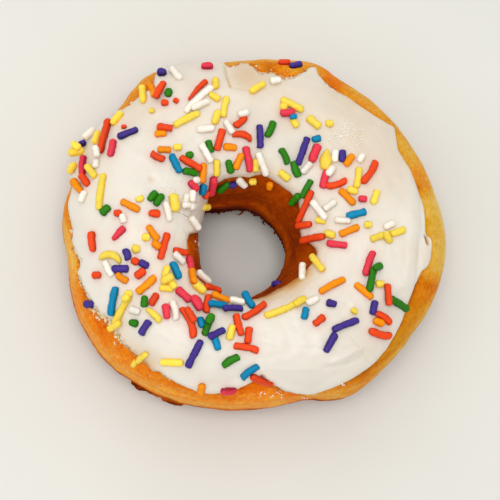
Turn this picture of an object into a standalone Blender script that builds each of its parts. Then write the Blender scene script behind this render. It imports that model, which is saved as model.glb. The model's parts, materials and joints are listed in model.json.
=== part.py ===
"""Iced ring doughnut: an uneven ring of fried yeast dough, capped with a coat of icing.

The ring stands on its flat underside at z = 0, with the middle of its outline over the origin.
Directions round the ring are degrees from +X towards +Y. Directions round its section are degrees
above the widest line of the outer side: 90 is the crown, and 180 is the wall of the hole.
Lengths below are in mm until MM turns them into metres.
"""

import math

import bmesh
import bpy
from mathutils import Vector

MM = 0.001

# Dough. An outline is pairs of a direction in degrees and a value there.
OUTLINE_REACH = (  # from the middle of the ring to its widest line
    (0, 47.0), (15, 46.0), (30, 45.5), (50, 45.5), (62, 45.0), (71, 46.5), (80, 45.0), (94, 43.5),
    (106, 43.5), (124, 47.0), (137, 44.5), (152, 45.5), (165, 45.0), (176, 46.0), (185, 44.5),
    (205, 46.0), (222, 46.0), (236, 44.5), (260, 42.0), (275, 41.0), (290, 41.0), (299, 44.0),
    (312, 44.5), (332, 45.0), (350, 47.0),
)  # fmt: skip
HOLE_CENTRE = Vector((-3.0, -4.6))
HOLE_REACH = (  # from the hole's centre to its narrowest line, with a corner at the far left
    (0, 11.5), (45, 11.5), (85, 12.5), (110, 12.5), (130, 14.0), (150, 12.5), (170, 11.0),
    (192, 10.5), (228, 11.5), (262, 12.0), (295, 11.0), (330, 11.0),
)  # fmt: skip
WIDEST_HEIGHT = 13.5
CROWN_HEIGHT = 29.6
CROWN_WAVES = ((1, 0.5, 250), (2, 0.6, 130), (5, 0.25, 20))
BELLY_DEPTH = 14.6  # the lower half bulges this far down, and the table flattens it at z = 0
UPPER_ROUNDNESS = 2.15  # exponents of the section's superellipse: 2 is an ellipse, 4 is boxy
LOWER_ROUNDNESS = 2.5
WALL_ROUNDNESS = 3.0

# Icing
ICING_THICKNESS = 1.5
ICING_GAP = 0.3  # clearance between the two solids
RIM_THINNING = 0.4  # the icing's rim against its full thickness
ICING_SKIRT = (  # degrees above the widest line where the icing ends outside
    (0, 55), (26, 55), (38, 42), (46, 50), (62, 52), (71, 40), (78, 58), (87, 52), (96, 40),
    (108, 18), (122, 34), (131, 42), (141, 28), (155, 13), (168, 18), (178, 28), (190, 30),
    (203, 36), (215, 46), (228, 40), (250, 35), (260, 42), (268, 52), (273, 55), (280, 38),
    (291, 26), (301, 38), (313, 40), (325, 44), (338, 52), (345, 54), (352, 50),
)  # fmt: skip
ICING_LIP = (  # degrees above the wall's narrowest line where the icing ends in the hole
    (0, 38), (10, 30), (25, 37), (45, 47), (90, 46), (112, 43), (128, 18), (142, 8), (155, 17),
    (172, 38), (190, 50), (215, 48), (245, 42), (300, 38), (330, 48), (343, 54), (353, 48),
)  # fmt: skip

# Fineness of the faceted solids
RING_STEPS = 84
SECTION_STEPS = 28
ICING_STEPS = 12

# The torus that the dough is shaped from
TORUS_RADIUS = 30.0
TORUS_TUBE = 16.0

# Colours, as linear red, green and blue
CRUST_COLOUR = (0.72, 0.30, 0.05, 1.0)
ICING_COLOUR = (0.86, 0.80, 0.70, 1.0)


def round_the_ring(pairs, turn):
    """A smooth closed curve through (degrees, value) pairs, read at a turn from 0 to 1."""
    degrees = 360 * (turn % 1.0)
    count = len(pairs)
    start = max(k for k in range(count) if pairs[k][0] <= degrees)
    places = []
    values = []
    for near in range(start - 1, start + 3):
        place, value = pairs[near % count]
        places.append(place + 360 * (near // count))
        values.append(value)
    width = places[2] - places[1]
    t = (degrees - places[1]) / width
    slope_in = (values[2] - values[0]) / (places[2] - places[0]) * width
    slope_out = (values[3] - values[1]) / (places[3] - places[1]) * width
    return (
        values[1] * (2 * t**3 - 3 * t**2 + 1)
        + slope_in * (t**3 - 2 * t**2 + t)
        + values[2] * (3 * t**2 - 2 * t**3)
        + slope_out * (t**3 - t**2)
    )


def waves(lobes, turn):
    """The sum of a few cosine lobes round the ring."""
    return sum(
        size * math.cos(count * (math.tau * turn - math.radians(first)))
        for count, size, first in lobes
    )


def power(value, exponent):
    """value to a power, keeping its sign."""
    return math.copysign(abs(value) ** exponent, value)


def dough_point(turn, rise):
    """Point on the crust, at a turn round the ring and a rise (radians) round its section.

    The section lies between the outline and the hole's edge, each at the turn about its own centre.
    """
    along = Vector((math.cos(math.tau * turn), math.sin(math.tau * turn)))
    outer = along * round_the_ring(OUTLINE_REACH, turn)
    inner = HOLE_CENTRE + along * round_the_ring(HOLE_REACH, turn)
    across, up = math.cos(rise), math.sin(rise)
    roundness = UPPER_ROUNDNESS if up > 0 else LOWER_ROUNDNESS
    if across < 0:
        roundness = WALL_ROUNDNESS
    crown = CROWN_HEIGHT + waves(CROWN_WAVES, turn) - WIDEST_HEIGHT
    place = (outer + inner) / 2 + (outer - inner) / 2 * power(across, 2 / roundness)
    height = WIDEST_HEIGHT + (crown if up > 0 else BELLY_DEPTH) * power(up, 2 / roundness)
    return Vector((place.x, place.y, max(height, 0.0)))


def dough_normal(turn, rise):
    """Unit normal of the crust, pointing out."""
    step = 1e-3
    along = dough_point(turn + step, rise) - dough_point(turn - step, rise)
    round_section = dough_point(turn, rise + step) - dough_point(turn, rise - step)
    return along.cross(round_section).normalized()


def material(name, colour, roughness):
    """A Principled material of one colour."""
    made = bpy.data.materials.new(name)
    made.use_nodes = True
    shader = made.node_tree.nodes["Principled BSDF"]
    shader.inputs["Base Color"].default_value = colour
    shader.inputs["Roughness"].default_value = roughness
    shader.inputs["Metallic"].default_value = 0.0
    return made


def put_in(collection, thing):
    """Puts an object in this collection only."""
    for held in list(thing.users_collection):
        held.objects.unlink(thing)
    collection.objects.link(thing)


def dough(parts):
    """The fried ring: a torus whose every vertex is moved to the uneven section."""
    bpy.ops.mesh.primitive_torus_add(
        major_segments=RING_STEPS,
        minor_segments=SECTION_STEPS,
        major_radius=TORUS_RADIUS * MM,
        minor_radius=TORUS_TUBE * MM,
    )
    ring = bpy.context.object
    ring.name = "dough"
    for vertex in ring.data.vertices:
        x, y, z = vertex.co
        turn = math.atan2(y, x) / math.tau
        rise = math.atan2(z, math.hypot(x, y) - TORUS_RADIUS * MM)
        vertex.co = dough_point(turn, rise) * MM
    ring.data.materials.append(material("fried_crust", CRUST_COLOUR, 0.5))
    ring.data.shade_smooth()
    put_in(parts, ring)
    return ring


def icing(parts):
    """The coat over the crown: a ring-shaped sheet on the crust, thickened by Solidify."""
    bpy.ops.mesh.primitive_grid_add(x_subdivisions=RING_STEPS, y_subdivisions=ICING_STEPS, size=1)
    coat = bpy.context.object
    coat.name = "icing"
    thickness = coat.vertex_groups.new(name="thickness")
    for vertex in coat.data.vertices:
        turn, across = vertex.co.x + 0.5, vertex.co.y + 0.5
        skirt = math.radians(round_the_ring(ICING_SKIRT, turn))
        lip = math.pi - math.radians(round_the_ring(ICING_LIP, turn))
        rise = skirt + (lip - skirt) * across
        vertex.co = (dough_point(turn, rise) + dough_normal(turn, rise) * ICING_GAP) * MM
        at_rim = across < 0.01 or across > 0.99
        thickness.add([vertex.index], RIM_THINNING if at_rim else 1.0, "REPLACE")
    sheet = bmesh.new()
    sheet.from_mesh(coat.data)
    bmesh.ops.remove_doubles(sheet, verts=sheet.verts, dist=0.001 * MM)  # closes the ring
    bmesh.ops.recalc_face_normals(sheet, faces=sheet.faces)
    sheet.to_mesh(coat.data)
    sheet.free()
    solidify = coat.modifiers.new("Thickness", "SOLIDIFY")
    solidify.thickness = ICING_THICKNESS * MM
    solidify.offset = 1.0
    solidify.vertex_group = thickness.name
    coat.data.materials.append(material("white_icing", ICING_COLOUR, 0.35))
    coat.data.shade_smooth()
    put_in(parts, coat)
    return coat


def centre(things):
    """Moves the meshes together so that the middle of their outline is over the origin."""
    bpy.context.view_layer.update()
    surfaces = bpy.context.evaluated_depsgraph_get()
    corners = [
        Vector(corner) for thing in things for corner in thing.evaluated_get(surfaces).bound_box
    ]
    low = Vector([min(corner[axis] for corner in corners) for axis in range(3)])
    high = Vector([max(corner[axis] for corner in corners) for axis in range(3)])
    middle = (low + high) / 2
    for thing in things:
        for vertex in thing.data.vertices:
            vertex.co.x -= middle.x
            vertex.co.y -= middle.y


def main():
    for thing in list(bpy.data.objects):
        bpy.data.objects.remove(thing)
    parts = bpy.data.collections.new("sprinkle_doughnut")
    bpy.context.scene.collection.children.link(parts)
    centre([dough(parts), icing(parts)])


main()
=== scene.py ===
# %% [markdown]
# # A ring doughnut with icing and sugar strands
# The real thing is a ring of yeast dough, fried on one face and then the other, dipped crown
# down in sugar icing and strewn with coloured strands while the icing was wet. The solid model
# loaded here gives its true size and place. It is the plain version: every visible surface
# below is made anew around it, fine enough to hold the small unevenness of real baking.

# %% Load the solid model
import json
import math

import bmesh
import bpy
import numpy as np
from mathutils import Matrix, Vector, noise
from mathutils.bvhtree import BVHTree
from mathutils.kdtree import KDTree


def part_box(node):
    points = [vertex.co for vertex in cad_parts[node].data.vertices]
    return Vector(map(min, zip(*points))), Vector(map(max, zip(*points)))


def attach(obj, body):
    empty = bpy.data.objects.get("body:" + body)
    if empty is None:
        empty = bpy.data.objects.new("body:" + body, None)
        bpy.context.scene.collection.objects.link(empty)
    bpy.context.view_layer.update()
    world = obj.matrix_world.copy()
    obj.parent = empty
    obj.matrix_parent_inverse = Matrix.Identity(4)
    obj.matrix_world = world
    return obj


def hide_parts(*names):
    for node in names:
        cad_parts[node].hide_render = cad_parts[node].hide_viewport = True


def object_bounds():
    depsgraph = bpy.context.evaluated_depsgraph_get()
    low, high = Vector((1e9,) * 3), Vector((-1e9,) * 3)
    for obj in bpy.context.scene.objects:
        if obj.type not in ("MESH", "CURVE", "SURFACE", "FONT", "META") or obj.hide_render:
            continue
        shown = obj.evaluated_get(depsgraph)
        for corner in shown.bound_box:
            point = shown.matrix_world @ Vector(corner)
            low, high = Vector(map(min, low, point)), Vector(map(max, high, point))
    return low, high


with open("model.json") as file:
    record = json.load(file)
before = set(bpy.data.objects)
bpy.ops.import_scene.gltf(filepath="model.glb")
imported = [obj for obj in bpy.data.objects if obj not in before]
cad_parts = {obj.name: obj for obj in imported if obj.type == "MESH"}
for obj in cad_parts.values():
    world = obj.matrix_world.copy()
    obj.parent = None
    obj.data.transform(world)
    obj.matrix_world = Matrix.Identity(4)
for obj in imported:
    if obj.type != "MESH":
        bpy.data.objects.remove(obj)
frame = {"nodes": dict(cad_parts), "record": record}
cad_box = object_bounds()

print("solid model from", *([round(v, 4) for v in corner] for corner in cad_box))

# %% [markdown]
# Shapes are worked out in millimetres, the unit in which food this small is easy to picture,
# and become metres when a mesh is made. Chance is seeded, so every run gives the same doughnut.

# %% Units, chance and colour
MM = 0.001
chance = np.random.default_rng(7)


def linear(hex_colour):
    """An sRGB colour such as #ffcc00 as linear red, green, blue and alpha."""
    parts = [int(hex_colour[k : k + 2], 16) / 255 for k in (1, 3, 5)]
    return [p / 12.92 if p <= 0.04045 else ((p + 0.055) / 1.055) ** 2.4 for p in parts] + [1.0]


# %% [markdown]
# The camera looks down from the side where the crust shows most, a little off the vertical.
# A wide lens close by would make the near side of the ring look swollen, so it has a long lens
# and stands some way off.

# %% Camera
CAMERA_AZIMUTH = math.radians(-30)
CAMERA_ELEVATION = math.radians(75)
CAMERA_DISTANCE = 0.42  # metres
VIEW_WIDTH = 0.12  # metres across, at the distance of the aim
box_middle = (Vector(cad_box[0]) + Vector(cad_box[1])) / 2
AIM_OFFSET = Vector((-0.0014, -0.0049, -0.0013))  # metres
aim = box_middle + AIM_OFFSET
to_camera = Vector((
    math.sin(CAMERA_AZIMUTH) * math.cos(CAMERA_ELEVATION),
    -math.cos(CAMERA_AZIMUTH) * math.cos(CAMERA_ELEVATION),
    math.sin(CAMERA_ELEVATION),
))
view_right = Vector((0, 1, 0)).cross(to_camera).normalized()
view_up = to_camera.cross(view_right)
eye = aim + to_camera * CAMERA_DISTANCE
camera = bpy.data.objects.new("camera", bpy.data.cameras.new("camera"))
bpy.context.scene.collection.objects.link(camera)
camera.matrix_world = (
    Matrix.Translation(eye) @ Matrix((view_right, view_up, to_camera)).transposed().to_4x4()
)
camera.data.lens = camera.data.sensor_width * CAMERA_DISTANCE / VIEW_WIDTH
camera.data.clip_start = 0.01
bpy.context.scene.camera = camera
print("camera at", [round(v, 3) for v in eye], "lens", round(camera.data.lens), "mm")

# %% [markdown]
# Places that are read off, such as a strand's, are given as seen from the camera: millimetres
# right and up on a sheet square to the view, from the middle of the ring's outline. A bearing is
# the direction of a place on that sheet, in degrees anticlockwise from the right. One function
# finds where such a place lies on the doughnut, another where a point shows on the sheet.

# %% Between the sheet and the doughnut
SHEET_RIGHT, SHEET_UP = 0.84, 3.48  # mm from the camera's aim to the middle of the outline
sheet_middle = aim + view_right * SHEET_RIGHT * MM + view_up * SHEET_UP * MM
eye_mm, right_mm, up_mm = (np.array(v) for v in (eye / MM, view_right, view_up))
back_mm, sheet_mm = np.array(to_camera), np.array(sheet_middle / MM)
print("middle of the sheet at", sheet_mm.round(1), "mm")


def shown_at(points):
    """Right and up on the sheet, in mm, of each point (rows of x, y, z in mm)."""
    rays = points - eye_mm
    depth = -rays @ back_mm
    scale = (CAMERA_DISTANCE / MM / depth)[..., None]
    on_sheet = eye_mm + rays * scale - sheet_mm
    return np.stack([on_sheet @ right_mm, on_sheet @ up_mm], -1)


def bearing_of(shown):
    """Bearing of places on the sheet, 0 to 360 degrees."""
    return np.degrees(np.arctan2(shown[..., 1], shown[..., 0])) % 360


def sight_line(x, y):
    """Direction from the eye through a place on the sheet."""
    return Vector(sheet_mm + right_mm * x + up_mm * y - eye_mm).normalized()


# %% [markdown]
# The solid ring is faceted. A copy smoothed by subdivision gives the even skin that the fine
# surfaces are built on. It is only looked up with rays, so the copy itself isn't kept.

# %% Smooth skin of the solid
def search_tree(node, levels):
    """A tree for casting rays at a solid's surface, subdivided to round off its facets, in mm."""
    shell = bmesh.new()
    shell.from_mesh(frame["nodes"][node].data)
    bmesh.ops.scale(shell, vec=(1 / MM,) * 3, verts=shell.verts)
    bmesh.ops.remove_doubles(shell, verts=shell.verts, dist=0.01)
    bmesh.ops.join_triangles(
        shell, faces=shell.faces, angle_face_threshold=0.7, angle_shape_threshold=1.5
    )
    mesh = bpy.data.meshes.new("skin")
    shell.to_mesh(mesh)
    shell.free()
    holder = bpy.data.objects.new("skin", mesh)
    bpy.context.scene.collection.objects.link(holder)
    subdivide = holder.modifiers.new("Subdivide", "SUBSURF")
    subdivide.levels = subdivide.render_levels = levels
    tree = BVHTree.FromObject(holder, bpy.context.evaluated_depsgraph_get())
    bpy.data.objects.remove(holder)
    bpy.data.meshes.remove(mesh)
    return tree


def cast(tree, starts, directions, reach=200.0):
    """Where each ray meets the tree within reach, as rows of x, y, z; a miss is a row of nan."""
    found = np.full(starts.shape, np.nan)
    for k, (start, direction) in enumerate(zip(starts.tolist(), directions.tolist())):
        hit = tree.ray_cast(start, direction, reach)[0]
        if hit is not None:
            found[k] = hit
    return found


DOUGH_SMOOTHING = 2  # subdivision levels
dough_tree = search_tree("dough", DOUGH_SMOOTHING)
icing_tree = search_tree("icing", 0)
print("search trees made of dough and icing")

# %% [markdown]
# A ring's section is easiest to describe from its own middle. The spine runs through the
# middle of every section, at the height of the waist. A turn goes round the ring, about the
# hole's axis, and a rise goes round the section: 0 outwards, 90 at the crown, 180 in the hole.

# %% Spine
TURNS = 700  # sections round the ring
BEYOND = 90  # mm from the hole's axis, well clear of the ring
dough_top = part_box("dough")[1][2] / MM
WAIST = 0.44 * dough_top  # height of the widest line
hole = np.array(frame["record"]["physics"]["openings"][0]["box_m"]).mean(0) / MM
turns = np.arange(TURNS) * math.tau / TURNS
outward = np.stack([np.cos(turns), np.sin(turns), np.zeros(TURNS)], 1)
waist_axis = np.tile([hole[0], hole[1], WAIST], (TURNS, 1))
wall_points = cast(dough_tree, waist_axis, outward)
side_points = cast(dough_tree, waist_axis + outward * BEYOND, -outward)
spine = (wall_points + side_points) / 2
print("hole about", np.round(hole[:2], 1), "mm; ring section",
      np.round(np.linalg.norm(side_points - wall_points, axis=1).mean(), 1), "mm wide")


def section_rays(rises):
    """Ray starts and directions from the spine at rises in radians, a row for each turn."""
    directions = (
        outward[:, None] * np.cos(rises)[..., None]
        + np.array([0, 0, 1.0]) * np.sin(rises)[..., None]
    )
    starts = np.broadcast_to(spine[:, None], directions.shape)
    return starts.reshape(-1, 3), directions.reshape(-1, 3)


def skin(rises):
    """Points on the smooth skin at rises, one row of rises for each turn."""
    return cast(dough_tree, *section_rays(rises)).reshape(rises.shape + (3,))


# %% [markdown]
# A few helpers do the rest of the surface work: soft noise of a stated grain size, smooth
# steps and bells to say where something happens, the normals of a grid, and a mesh made from
# a grid that closes on itself both ways, like a torus.

# %% Noise, steps and bells
def rough(points, grain, octaves=2, seed=0.0):
    """Soft noise from about -1 to 1 whose bumps are grain mm apart."""
    flat = (points.reshape(-1, 3) / grain + seed).tolist()
    values = [noise.fractal(p, 0.8, 2.0, octaves) for p in flat]
    return np.array(values).reshape(points.shape[:-1])


def ramp(value, low, high):
    """0 below low, 1 above high and a smooth step between; low may be the larger."""
    t = np.clip((value - low) / (high - low), 0, 1)
    return t * t * (3 - 2 * t)


def hump(value, middle, width):
    """A bell of height 1 round middle."""
    return np.exp(-(((value - middle) / width) ** 2))


def by_bearing(bearings, readings):
    """Values read off at a few bearings, joined by straight stretches round the ring."""
    places, values = np.array(readings).T
    return np.interp(bearings, places, values, period=360)


def spots(shown, list_of_spots):
    """Adds up soft round spots, each (x, y, radius, amount), at places on the sheet."""
    total = np.zeros(shown.shape[:-1])
    for x, y, radius, amount in list_of_spots:
        away = np.hypot(shown[..., 0] - x, shown[..., 1] - y)
        total += amount * hump(away, 0, radius)
    return total


def stroke(shown, path, width):
    """A soft line along a path of (x, y) corners on the sheet, fading at its ends."""
    nearest = np.full(shown.shape[:-1], 1e9)
    for (ax, ay), (bx, by) in zip(path, path[1:]):
        dx, dy = bx - ax, by - ay
        part = ((shown[..., 0] - ax) * dx + (shown[..., 1] - ay) * dy) / (dx * dx + dy * dy)
        part = np.clip(part, 0, 1)
        away = np.hypot(shown[..., 0] - ax - part * dx, shown[..., 1] - ay - part * dy)
        nearest = np.minimum(nearest, away)
    return hump(nearest, 0, width)


# %% Grids and meshes
def grid_normals(points, closed=True):
    """Unit outward normals of a grid, turns by rises."""
    along = np.roll(points, -1, 0) - np.roll(points, 1, 0)
    if closed:
        across = np.roll(points, -1, 1) - np.roll(points, 1, 1)
    else:
        across = np.gradient(points, axis=1)
    normals = np.cross(along, across)
    return normals / np.linalg.norm(normals, axis=-1, keepdims=True)


def grid_faces(rows, closed):
    """Four-sided faces of a grid that closes round the ring, and round the section if closed."""
    steps = rows if closed else rows - 1
    around, up = np.meshgrid(np.arange(TURNS), np.arange(steps), indexing="ij")
    beyond, above = (around + 1) % TURNS, (up + 1) % rows
    corners = [around * rows + up, beyond * rows + up, beyond * rows + above, around * rows + above]
    return np.stack(corners, -1).reshape(-1, 4).tolist()


def make_piece(name, points, faces, material, smooth=True):
    """A mesh object from points in mm and faces."""
    mesh = bpy.data.meshes.new(name)
    mesh.from_pydata((points.reshape(-1, 3) * MM).tolist(), [], faces)
    mesh.materials.append(material)
    if smooth:
        mesh.shade_smooth()
    piece = bpy.data.objects.new(name, mesh)
    bpy.context.scene.collection.objects.link(piece)
    return piece


def note(piece, name, values):
    """Stores one number for each vertex, for the piece's material to read."""
    layer = piece.data.attributes.new(name, "FLOAT", "POINT")
    layer.data.foreach_set("value", np.ravel(values).astype(np.float32))


def join(parts):
    """One array of points and one list of faces from many (points, faces) pairs."""
    points, faces, start = [], [], 0
    for some_points, some_faces in parts:
        points.append(some_points)
        faces += [tuple(start + k for k in face) for face in some_faces]
        start += len(some_points)
    return np.concatenate(points), faces


def triangles(piece):
    """How many triangles a piece's faces come to."""
    return sum(len(face.vertices) - 2 for face in piece.data.polygons)


# %% [markdown]
# Materials are node trees. One small function adds a node: its own settings, then what goes
# into its inputs, either a plain value or the output of another node. Inputs that go by number
# are in the node's own order: a Math node works on 0, 1 and 2, and MULTIPLY_ADD is 0 times 1
# plus 2. A MapRange turns the span from 1 to 2 into the span from 3 to 4.

# %% A material and its nodes
def add(tree, kind, inputs=(), **settings):
    """Adds a node. An input is named by its socket, and is a value or another node's output."""
    made = tree.nodes.new("ShaderNode" + kind)
    for key, value in settings.items():
        setattr(made, key, value)
    for key, value in dict(inputs).items():
        if isinstance(value, bpy.types.NodeSocket):
            tree.links.new(value, made.inputs[key])
        else:
            made.inputs[key].default_value = value
    return made


def new_material(name):
    """An empty material; returns it, its node tree and object coordinates."""
    made = bpy.data.materials.new(name)
    made.use_nodes = True
    tree = made.node_tree
    tree.nodes.clear()
    return made, tree, add(tree, "TexCoord").outputs["Object"]


def finish_material(tree, **inputs):
    """Adds the Principled shader, with spaces in socket names written as underscores."""
    named = {key.replace("_", " "): value for key, value in inputs.items()}
    shader = add(tree, "BsdfPrincipled", named)
    out = add(tree, "OutputMaterial")
    tree.links.new(shader.outputs[0], out.inputs["Surface"])


def stops(tree, factor, colours):
    """A colour ramp through (place, hex colour) pairs."""
    made = add(tree, "ValToRGB", {"Fac": factor})
    elements = made.color_ramp.elements
    while len(elements) < len(colours):
        elements.new(0.5)
    for element, (place, colour) in zip(elements, colours):
        element.position = place
        element.color = linear(colour)
    return made.outputs["Color"]


def blend_colours(tree, factor, first, second, how="MIX"):
    """Mixes two colours by a factor."""
    made = add(tree, "Mix", data_type="RGBA", blend_type=how)
    for socket, value in zip((made.inputs[0], made.inputs[6], made.inputs[7]), (factor, first, second)):
        if isinstance(value, bpy.types.NodeSocket):
            tree.links.new(value, socket)
        else:
            socket.default_value = value
    return made.outputs[2]


def per_mm(size):
    """Texture scale that gives a grain of about size mm, as coordinates are in metres."""
    return 1 / (size * MM)


# %% [markdown]
# ## Fried crust
# Dough that floats in hot oil browns on each face and stays pale round the waist, where it
# never touched the oil for long. Sugar in the skin turns it orange where it browned fast and
# golden where it browned slowly. The crust is dry, finely blistered and slightly greasy: satin
# to the eye where it is pale, and dull where it is dark. Blisters could be sculpted, but they
# are less than a millimetre across, so noise does for them. The mesh says how deeply each point
# is fried, with painted shade added in the hole and a painted shadow along the icing's edge,
# and how ruddy it is. The material turns that into colour, with mottling, and with small light
# flecks where the crust is pale.

# %% Fried crust material
def fried_crust():
    made, tree, place = new_material("fried_crust")
    # The fried number read here includes painted shade in the hole and a painted shadow along the icing's
    # edge.
    fried = add(tree, "Attribute", attribute_name="fried").outputs["Fac"]
    ruddy = add(tree, "Attribute", attribute_name="ruddy").outputs["Fac"]
    mottle = add(tree, "TexNoise", {"Vector": place, "Scale": per_mm(1.1), "Detail": 5.0,
                                    "Roughness": 0.68}).outputs["Fac"]
    shifted = add(tree, "Math", {0: mottle, 1: 0.5}, operation="SUBTRACT").outputs[0]
    unevenness = add(tree, "MapRange", {0: fried, 1: 0.45, 2: 0.75, 3: 0.85, 4: 0.25}).outputs[0]
    depth = add(tree, "Math", {0: shifted, 1: unevenness, 2: fried}, operation="MULTIPLY_ADD").outputs[0]
    golden = stops(tree, depth, (
        (0.0, "#f6d070"), (0.2, "#ecbc48"), (0.4, "#e3a315"), (0.6, "#d98a04"), (0.8, "#a95a02"),
        (1.0, "#5e2400"),
    ))
    orange = stops(tree, depth, (
        (0.0, "#ffca48"), (0.2, "#ffa428"), (0.4, "#fb8608"), (0.6, "#ee6e02"), (0.8, "#b34400"),
        (1.0, "#621a00"),
    ))
    colour = blend_colours(tree, ruddy, golden, orange)
    speckle = add(tree, "TexNoise", {"Vector": place, "Scale": per_mm(0.7), "Detail": 3.0}).outputs[0]
    fleck = add(tree, "MapRange", {0: speckle, 1: 0.56, 2: 0.70, 3: 0.0, 4: 0.6}).outputs[0]
    only_pale = add(tree, "MapRange", {0: fried, 1: 0.35, 2: 0.6, 3: 1.0, 4: 0.0}).outputs[0]
    fleck = add(tree, "Math", {0: fleck, 1: only_pale}, operation="MULTIPLY").outputs[0]
    colour = blend_colours(tree, fleck, colour, linear("#f3c98a"))
    blister = add(tree, "TexNoise", {"Vector": place, "Scale": per_mm(0.8), "Detail": 4.0}).outputs[0]
    pore = add(tree, "TexVoronoi", {"Vector": place, "Scale": per_mm(1.2)}).outputs["Distance"]
    relief = add(tree, "Math", {0: blister, 1: pore}, operation="ADD").outputs[0]
    bump = add(tree, "Bump", {"Height": relief, "Strength": 0.45, "Distance": 0.25 * MM})
    dryness = add(tree, "MapRange", {0: fried, 1: 0.5, 2: 0.8, 3: 0.5, 4: 0.95}).outputs[0]
    finish_material(tree, Base_Color=colour, Roughness=dryness, Normal=bump.outputs[0],
                    Specular_IOR_Level=0.05)
    return made


crust = fried_crust()
print("fried crust:", len(crust.node_tree.nodes), "nodes")

# %% [markdown]
# ## The ring of dough
# The fine ring starts as the smooth skin and is then pushed in and out along its normals: slow
# puffs from proving, wrinkles drawn out along the ring, a dip round the waist, a ridge inside
# the hole where the two fried faces meet, and a torn lip of shreds under that ridge. It could
# be sculpted by hand, but in a sum of named terms each can be set apart from the others.

# %% Relief of the dough
RING_RADIUS = 34  # mm from the hole's axis, where noise that follows the ring is worked out
PUFF, SMALL_PUFF, WRINKLE = 0.32, 0.10, 0.14  # mm high
RIDGE, RIDGE_AT = 0.7, 15.0  # mm that the ridge stands out, and how high up the hole it is
WAIST_FILL, WAIST_DIP = 0.34, 0.2  # mm: the side is filled out, and less so at the waist


def along_ring(points, stretch):
    """Places for noise that is drawn out along the ring, stretch times longer than wide."""
    from_hole = points - np.array([hole[0], hole[1], 0])
    turn = np.arctan2(from_hole[..., 1], from_hole[..., 0])
    reach = RING_RADIUS / stretch
    wide = np.hypot(from_hole[..., 0], from_hole[..., 1])
    return np.stack([reach * np.cos(turn), reach * np.sin(turn), points[..., 2] + wide], -1)


def relief(points, rises):
    """How far the skin stands out at each point, in mm."""
    height = points[..., 2]
    in_hole = ramp(-np.cos(rises), 0.2, 0.8)
    at_side = ramp(np.cos(rises), 0.0, 0.5)
    puffs = PUFF * rough(points, 11) + SMALL_PUFF * rough(points, 3.2, seed=5)
    wrinkles = WRINKLE * rough(along_ring(points, 4), 1.8, 3, seed=8)
    waist = at_side * (WAIST_FILL - WAIST_DIP * hump(height, WAIST, 3.0))
    ridge_height = RIDGE_AT + 1.2 * rough(points, 9, 1, seed=3)
    ridge = RIDGE * in_hole * hump(height, ridge_height, 2.2)
    return (puffs + wrinkles + waist + ridge) * ramp(height, 0.2, 2.5)


# %% Points of the dough
TORN_BAND = (184, 214)  # degrees of rise where the rows lie closer, for the torn lip
ROWS_BEFORE, ROWS_IN_BAND, ROWS_AFTER = 66, 30, 44
GRAIN, TORN_REACH = 0.05, 0.95  # mm: the skin's fine grain, and how far the torn lip stands out
section = np.radians(np.concatenate([
    np.linspace(0, TORN_BAND[0], ROWS_BEFORE, endpoint=False),
    np.linspace(*TORN_BAND, ROWS_IN_BAND, endpoint=False),
    np.linspace(TORN_BAND[1], 360, ROWS_AFTER, endpoint=False),
]))
SECTION_STEPS = len(section)
rises = np.broadcast_to(section, (TURNS, SECTION_STEPS))
bare = skin(rises)
print("skin rays that missed:", int(np.isnan(bare).any(-1).sum()))
height = bare[..., 2]
in_hole = ramp(-np.cos(rises), 0.2, 0.8)
grain = GRAIN * rough(bare, 1.0, 3, seed=9)
torn = np.clip(rough(bare * np.array([1, 1, 0.4]), 0.7, 3, seed=30) + 0.3, 0, 1)
torn *= 0.7 + 0.5 * rough(bare, 4.0, 1, seed=31)
torn_rise = 195 + 8 * np.cos(turns - math.radians(60))  # lower on the far wall
foot = hump(np.degrees(rises), torn_rise[:, None], 3.0)
push = relief(bare, rises) + grain + TORN_REACH * foot * torn
dough_points = bare + grid_normals(bare) * push[..., None]
dough_points[..., 2] = np.maximum(dough_points[..., 2], 0.0)
print("skin pushed", push.min().round(2), "to", push.max().round(2), "mm")

# %% [markdown]
# One colour round the ring would look moulded. Browning differs from place to place, so two
# readings are kept by bearing: how fried the side is, and how orange. Low down, where the ring
# lay in the oil, the differences even out and the crust is dark all round. In the hole the crust
# is darkest: partly browned where the two fried faces meet, and partly painted shade of the deep
# hole.

# %% How fried the dough is
FRIED = (  # at a bearing, on the side: -0.1 is pale straw and 1 is dark brown
    (0, 0.12), (6, 0.0), (11, -0.09), (16, 0.25), (20, 0.30), (28, 0.12), (36, 0.30), (46, 0.25),
    (55, 0.13), (62, 0.34), (68, 0.28), (80, 0.22), (90, 0.31), (131, 0.35), (175, 0.42),
    (183, 0.18), (190, 0.22), (198, 0.37), (212, 0.35), (230, 0.32), (238, 0.28), (250, 0.33),
    (262, 0.30), (269, 0.24), (276, 0.18), (283, 0.44), (290, 0.38), (298, 0.34), (306, 0.44),
    (314, 0.40), (322, 0.31), (330, 0.32), (338, 0.37), (344, 0.46), (349, 0.12), (354, -0.04),
)
RUDDY = (  # 0 is golden and 1 is orange
    (0, 0), (10, 0), (16, 0.3), (21, 0.5), (28, 0.1), (36, 0.2), (46, 0.35), (55, 0.2), (62, 0.9),
    (69, 0.4), (80, 0.6), (90, 0.3), (131, 0.4), (190, 0.5), (200, 0.8), (244, 0.8), (262, 0.9),
    (272, 1.0), (284, 0.95), (290, 0.5), (306, 0.4), (314, 0.2), (322, 0.0), (332, 0.1),
    (343, 0.5), (349, 0.1),
)
dough_shown = shown_at(dough_points)
bearings = bearing_of(dough_shown)
streaks = rough(along_ring(bare, 5), 1.3, 4, seed=41)
patches = rough(bare, 5.5, 2, seed=12)
WANDER = 14  # degrees that a change of browning strays, low on the side
EVENED, USUALLY_FRIED, USUALLY_RUDDY = 0.6, 0.3, 0.5
low_down = ramp(height, WAIST + 2, WAIST - 6)
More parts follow.
